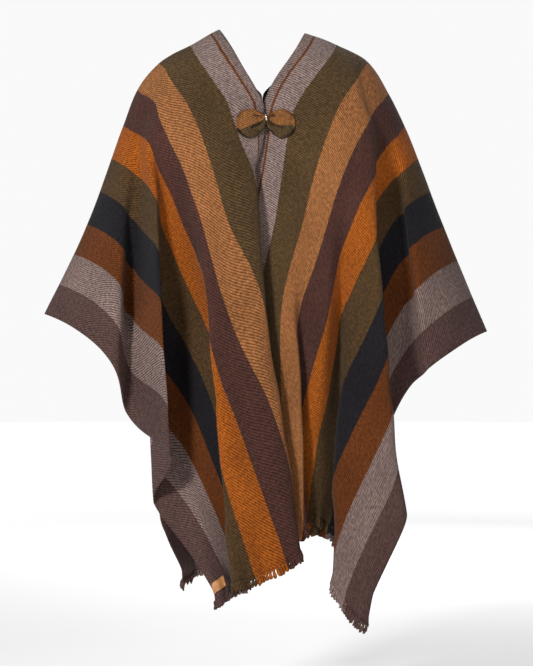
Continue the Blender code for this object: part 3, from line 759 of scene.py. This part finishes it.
def add_lock(shape, layer, root, fall, side_way, out, cloth, length, lean, curl):
    """One twisted lock: rings along a leaning line, with its place on the cloth as its map."""
    rings = []
    for i in range(LOCK_RINGS):
        run = i / (LOCK_RINGS - 1)
        centre = root + fall * (run * length - LOCK_ROOT) + side_way * (lean * run * length)
        centre = centre + out * (curl * run ** 2 * length)
        taper = 1 - LOCK_TAPER * run ** 4
        turn = LOCK_TWIST * pi * run
        ring = []
        for k in range(LOCK_SIDES):
            angle = 2 * pi * k / LOCK_SIDES
            wide = cos(angle) * LOCK_HALF_WIDTH * taper
            deep = sin(angle) * LOCK_HALF_DEPTH * taper
            offset = side_way * (wide * cos(turn) - deep * sin(turn))
            offset += out * (wide * sin(turn) + deep * cos(turn))
            ring.append(shape.verts.new(centre + offset))
        rings.append(ring)
    faces = [(upper[k], upper[(k + 1) % LOCK_SIDES], lower[(k + 1) % LOCK_SIDES], lower[k])
             for upper, lower in zip(rings, rings[1:]) for k in range(LOCK_SIDES)]
    faces.append(tuple(reversed(rings[0])))
    faces.append(tuple(rings[-1]))
    for corners in faces:
        face = shape.faces.new(corners)
        face.smooth = True
        for loop in face.loops:
            away = loop.vert.co - Vector(root)
            loop[layer].uv = (cloth[0] + away.dot(Vector(side_way)), cloth[1] + away.dot(Vector(fall)))


def make_fringe(side, face, grid, normal, across, along, look):
    """A lock for each thread of one hem, uneven in length, lean and curl."""
    name = "locks_%s_%s" % (face, side)
    row, above = (0, 3) if face == "front" else (-1, -4)
    hem = grid[row]
    fall = unit(grid[row] - grid[above])
    rng = np.random.default_rng(LOCK_SEED[face])
    shape = bmesh.new()
    layer = shape.loops.layers.uv.new("Cloth")
    for i in range(THREADS):
        root = (hem[i] + hem[i + 1]) / 2
        down = unit(fall[i] + fall[i + 1])
        out = normal[row, i]
        side_way = unit(np.cross(down, out))
        cloth = ((across[row, i] + across[row, i + 1]) / 2, along[row, i])
        length = LOCK_REACH * (1 + rng.uniform(-0.12, 0.06))
        lean = LOCK_LEAN[face] * (1 + sin(i * 0.37)) + rng.uniform(-0.07, 0.07)
        add_lock(shape, layer, root, down, side_way, out, cloth, length, lean, rng.uniform(-0.15, 0.15))
    mesh = bpy.data.meshes.new(name)
    shape.to_mesh(mesh)
    shape.free()
    mesh.materials.append(look)
    piece = bpy.data.objects.new(name, mesh)
    bpy.context.scene.collection.objects.link(piece)
    return dressed(piece, "fringe_wool", "fringe_%s_%s" % (face, side))


def front_trees(pieces):
    graph = bpy.context.evaluated_depsgraph_get()
    return [BVHTree.FromObject(piece, graph) for piece in pieces]


def seat_y(trees, x, z):
    """Foremost fore-and-aft place of the cloth at a point of the front view."""
    hits = [tree.ray_cast(Vector((x, -1, z)), Vector((0, 1, 0)))[0] for tree in trees]
    return min(hit.y for hit in hits if hit is not None)


# Tabs
TAB_GRID = (64, 60)
TAB_LOW_ROUND = 0.50
TAB_CROWDING = 1.6
TAB_PUFF = 0.0090
TAB_PUFF_SHIFT = 0.04
TAB_PUFF_ROUNDNESS = 0.6
TAB_PUCKERS = 11
TAB_PUCKER_DEPTH = 0.0014
TAB_PUCKER_REACH = 0.018
TAB_PUCKER_START = 0.004
# Creases gathered in at the ring. Columns (mm): out and up of each end, half width, depth
TAB_CREASES = {
    "right": ((1, -3, 12, -10, 2.2, 14), (12, -10, 26, -18, 2.0, 12), (6, 2, 20, 4, 2.2, 12),
              (14, -24, 30, -27, 3.0, 2.0), (4, 6, 14, 13, 1.4, 4)),
    "left": ((2, -4, 12, -11, 2.3, 14), (12, -11, 31, -18, 2.2, 14), (5, 2, 15, 5, 2.6, 12),
             (10, -24, 26, -28, 3.0, 2.0), (4, 6, 12, 14, 1.4, 4)),
}
# Line between camel and olive. Columns (mm): out, up
TAB_DIVISION = {
    "right": ((0, -1), (25, -12), (52, -24)),
    "left": ((0, -1), (8, -6), (23, -12.5), (52, -14)),
}
STITCH_PITCH = 0.0034
STITCH_LENGTH = 0.0042
STITCH_RADIUS = 0.00075
STITCHED_RUN = (0.10, 0.97)
STITCH_SPOTS = 90
RIM_LIFT = 0.0018
# Bars over the rim. Columns: share of the bar's length in from the rim, lift off the cloth
STITCH_BAR = ((-0.25, 0.0006), (0.25, 0.0034), (0.75, 0.0044))


def to_segment(x, z, x0, z0, x1, z1):
    """Distance from each point to a segment of the front view, and how far along it that is."""
    run_x = x1 - x0
    run_z = z1 - z0
    share = np.clip(((x - x0) * run_x + (z - z0) * run_z) / (run_x ** 2 + run_z ** 2), 0, 1)
    return np.hypot(x - x0 - share * run_x, z - z0 - share * run_z), share


def tab_place(side, run, tall):
    """Out from the ring and up, for a point of a tab: run 0 at the ring, tall -1 to 1."""
    swell_power, swell_round = TAB_SWELL_POWERS
    filled = 1 - (1 - min(run / TAB_SWELL_LENGTH, 1)) ** swell_power
    swell = filled ** (TAB_LOW_ROUND if tall < 0 else swell_round)
    end = max((run - TAB_ROUND_FROM) / (1 - TAB_ROUND_FROM), 0)
    rounding = np.sqrt(max(1 - end ** 2, TAB_ROUND_LEAST))
    half = NECK_HALF_HEIGHT + (TAB_HALF_HEIGHT - NECK_HALF_HEIGHT) * swell * rounding
    return NECK_GAP + run * TAB_LENGTH[side], tall * half - TAB_SAG * filled ** swell_round


def seated_tab(side, trees, out, up):
    """Point just off the cloth, rising to the ring near it."""
    sign = 1 if side == "left" else -1
    x = RING_PLACE.x + sign * out
    z = RING_PLACE.z + up
    lying = seat_y(trees, x, z) - TAB_CLEARANCE - TAB_CLOTH / 2
    lift = max(1 - out / TAB_RISE_LENGTH, 0) ** TAB_RISE_POWER
    return Vector((x, lying + (RING_PLACE.y - lying) * lift, z))


def make_tab(side, trees, look):
    """A padded half moon, puckered and creased where the ring gathers it."""
    sign = 1 if side == "left" else -1
    across, up = TAB_GRID
    grid = np.empty((up + 1, across + 1, 3))
    outs = np.empty((up + 1, across + 1))
    ups = np.empty((up + 1, across + 1))
    for j, i in np.ndindex(up + 1, across + 1):
        run = (i / across) ** TAB_CROWDING
        tall = sin(pi / 2 * (2 * j / up - 1))
        outs[j, i], ups[j, i] = tab_place(side, run, tall)
        swelling = sin(pi * min(run * 1.1 + TAB_PUFF_SHIFT, 1)) ** TAB_PUFF_ROUNDNESS
        puff = TAB_PUFF * ((1 - tall ** 2) ** 0.5 * swelling)
        reach = np.hypot(outs[j, i], ups[j, i])
        pucker = cos(TAB_PUCKERS * np.arctan2(ups[j, i], outs[j, i])) * np.exp(-reach / TAB_PUCKER_REACH)
        puff += TAB_PUCKER_DEPTH * pucker * min(reach / TAB_PUCKER_START, 1)
        for x0, z0, x1, z1, half, depth in TAB_CREASES[side]:
            away = to_segment(outs[j, i] / MM, ups[j, i] / MM, x0, z0, x1, z1)[0]
            puff -= depth * MM * np.exp(-(away / half) ** 2)
        grid[j, i] = seated_tab(side, trees, outs[j, i], ups[j, i]) - Vector((0, max(puff, 0), 0))
    line = np.interp(outs / MM, *np.array(TAB_DIVISION[side], float).T) * MM
    piece = sheet_object("bow_" + side, grid, outs * sign, ups - line, look, TAB_CLOTH)
    return dressed(piece, "tab_wool", "tab_" + side)


def make_stitches(side, name, tall, trees, look):
    """Blanket stitches round the lower or upper edge of a tab: a rim thread and short bars over it."""
    runs = np.linspace(*STITCHED_RUN, STITCH_SPOTS)
    rim = [Vector((*tab_place(side, run, tall), 0)) for run in runs]
    curve = bpy.data.curves.new(name, "CURVE")
    curve.dimensions = "3D"
    curve.bevel_depth = STITCH_RADIUS
    curve.bevel_resolution = 2
    curve.use_fill_caps = True

    def thread(points):
        spline = curve.splines.new("POLY")
        spline.points.add(len(points) - 1)
        for spot, point in zip(spline.points, points):
            spot.co = (*point, 1)

    def laid(flat, lift):
        return seated_tab(side, trees, flat.x, flat.y) - Vector((0, lift, 0))

    thread([laid(point, RIM_LIFT) for point in rim])
    gone = STITCH_PITCH
    for before, here in zip(rim, rim[1:]):
        step = (here - before).length
        gone += step
        if gone < STITCH_PITCH or step < 1e-6:
            continue
        gone = 0
        way = (here - before).normalized()
        inward = Vector((-way.y, way.x, 0)) if tall < 0 else Vector((way.y, -way.x, 0))
        thread([laid(here + inward * STITCH_LENGTH * share, lift) for share, lift in STITCH_BAR])
    piece = bpy.data.objects.new(name, curve)
    curve.materials.append(look)
    bpy.context.scene.collection.objects.link(piece)
    return dressed(piece, "tab_wool")


def make_ring(look):
    """The flattened wire ring round the necks of the two tabs."""
    bpy.ops.mesh.primitive_torus_add(major_radius=RING_RADIUS, minor_radius=RING_WIRE, major_segments=64,
                                     minor_segments=20, location=RING_PLACE, rotation=(0, pi / 2, 0))
    ring = bpy.context.active_object
    ring.name = "clasp_hoop"
    bpy.ops.object.transform_apply(location=False, rotation=True, scale=False)
    ring.scale = (1, RING_FLATNESS, 1)
    ring.rotation_euler = (0, RING_TILT, 0)
    bpy.ops.object.transform_apply(location=False, rotation=True, scale=True)
    ring.data.materials.append(look)
    ring.data.shade_smooth()
    return dressed(ring, "ring_metal", "clasp_ring")


# Label
LABEL_WIDTH = 0.027
LABEL_HEIGHT = 0.020
LABEL_LEATHER = 0.0014
LABEL_FROM_HEM = 0.014
LABEL_FROM_EDGE = 0.0025
LABEL_CORNER = 0.0025
LABEL_GRID = (26, 20)


def make_label(grid, tree, look):
    """A bare patch with rounded corners, on the cloth at the hem corner of the front."""
    corner = grid[0, -1]
    up = unit(grid[5, -1] - corner)
    inward = unit(grid[2, -6] - grid[2, -1])
    across, tall = LABEL_GRID
    points = np.empty((tall + 1, across + 1, 3))
    for j in range(tall + 1):
        for i in range(across + 1):
            a = LABEL_WIDTH * (i / across - 0.5)
            b = LABEL_HEIGHT * (j / tall - 0.5)
            past_a = abs(a) - (LABEL_WIDTH / 2 - LABEL_CORNER)
            past_b = abs(b) - (LABEL_HEIGHT / 2 - LABEL_CORNER)
            if past_a > 0 and past_b > 0:
                reach = np.hypot(past_a, past_b)
                square = max(past_a, past_b)
                a = np.sign(a) * (LABEL_WIDTH / 2 - LABEL_CORNER + past_a * square / reach)
                b = np.sign(b) * (LABEL_HEIGHT / 2 - LABEL_CORNER + past_b * square / reach)
            spot = corner + inward * (LABEL_FROM_EDGE + LABEL_WIDTH / 2 + a)
            spot = spot + up * (LABEL_FROM_HEM + LABEL_HEIGHT / 2 + b)
            near, facing = tree.find_nearest(Vector(spot))[:2]
            if facing.y > 0:
                facing = -facing
                near = near + facing * CLOTH
            points[j, i] = near + facing * (SEAM_GAP + LABEL_LEATHER / 2)
    u, v = np.meshgrid(np.linspace(0, LABEL_WIDTH, across + 1), np.linspace(0, LABEL_HEIGHT, tall + 1))
    piece = sheet_object("label_bare", points, u, v, look, LABEL_LEATHER)
    return dressed(piece, "patch_leather", "label_patch")


# Studio
CAMERA_DISTANCE = 4.2
CAMERA_HEIGHT = -0.5719
VIEW_HEIGHT = 1.2654
FLOOR_DROP = -1.30
AMBIENT = 0.065
BACKDROP = 0.95
FLOOR_GLOW = 0.25
FLOOR_RADIUS = 14
SENSOR = 36
# Round lamps. Columns: name, place, size, power
LAMPS = (
    ("key", (-2.2, -3.5, 1.2), 0.8, 160),
    ("fill", (2.2, -3.6, 0.5), 1.0, 33),
    ("top", (-0.3, 0.3, 2.6), 1.2, 20),
    ("back", (0.9, 3.2, 1.0), 2.2, 60),
)


def make_light(name, place, size, power, aim):
    lamp = bpy.data.lights.new(name, "AREA")
    lamp.shape = "DISK"
    lamp.size = size
    lamp.energy = power
    item = bpy.data.objects.new(name, lamp)
    item.location = place
    item.rotation_euler = (Vector(aim) - Vector(place)).to_track_quat("-Z", "Y").to_euler()
    bpy.context.scene.collection.objects.link(item)


def make_world():
    """White to look at, and dimmer as a light on the cloth."""
    world = bpy.data.worlds.new("studio")
    world.use_nodes = True
    tree = world.node_tree
    seen = tree.nodes.new("ShaderNodeLightPath")
    strength = tree.nodes.new("ShaderNodeMapRange")
    strength.inputs["To Min"].default_value = AMBIENT
    strength.inputs["To Max"].default_value = BACKDROP
    tree.links.new(seen.outputs["Is Camera Ray"], strength.inputs["Value"])
    tree.links.new(strength.outputs[0], tree.nodes["Background"].inputs[1])
    tree.nodes["Background"].inputs[0].default_value = (1, 1, 1, 1)
    bpy.context.scene.world = world


def make_floor():
    bpy.ops.mesh.primitive_circle_add(vertices=96, radius=FLOOR_RADIUS, fill_type="NGON",
                                      location=(0, 0, FLOOR_DROP))
    floor = bpy.context.active_object
    floor.name = "studio_floor"
    n = Nodes("floor_paint")
    place = n.add("ShaderNodeTexCoord").outputs["Object"]
    shade = n.ranged(n.noise(place, 1.5), 0.2, 0.8, 0.88, 0.92)
    far = n.add("ShaderNodeVectorMath", operation="LENGTH")
    n.put(place, far.inputs[0])
    n.set(Base_Color=n.combined(shade, shade, shade), Roughness=0.9, Emission_Color=(1, 1, 1, 1))
    n.set(Emission_Strength=n.ranged(far.outputs["Value"], 1.0, 6.0, FLOOR_GLOW, BACKDROP))
    floor.data.materials.append(n.material)


def make_studio():
    bpy.context.scene.view_settings.view_transform = "Standard"
    make_world()
    make_floor()
    aim = (0, 0, CAMERA_HEIGHT)
    for name, place, size, power in LAMPS:
        make_light(name, place, size, power, aim)


def make_camera():
    data = bpy.data.cameras.new("camera")
    data.sensor_width = SENSOR
    data.lens = SENSOR * CAMERA_DISTANCE / VIEW_HEIGHT
    camera = bpy.data.objects.new("camera", data)
    camera.location = (0, -CAMERA_DISTANCE, CAMERA_HEIGHT)
    camera.rotation_euler = (pi / 2, 0, 0)
    bpy.context.scene.collection.objects.link(camera)
    bpy.context.scene.camera = camera


def main():
    panels = []
    grids = {}
    for side in ("right", "left"):
        wool = make_wool("wool_" + side, TWILL_SLANT[side])
        loose_wool = make_wool("fringe_" + side, TWILL_SLANT[side], True)
        piece, grid, across, along = make_panel(side, wool)
        panels.append(piece)
        grids[side] = grid
        normal = outward(grid)
        [make_fringe(side, face, grid, normal, across, along, loose_wool)
                         for face in ("front", "back")]
    trees = front_trees(panels)
    tab_wool = make_tab_wool()
    bows = {side: make_tab(side, trees, tab_wool) for side in ("right", "left")}
    black = make_thread("thread_black", (0.006, 0.005, 0.005))
    brown = make_thread("thread_brown", (0.110, 0.045, 0.018))
    stitches = {side: [make_stitches(side, "stitch_low_" + side, -1, trees, black),
                       make_stitches(side, "stitch_top_" + side, 1, trees, brown)]
                for side in ("right", "left")}
    make_ring(make_metal())
    label = make_label(grids["right"], trees[0], make_leather())
    make_studio()
    make_camera()


main()
bpy.context.view_layer.update()
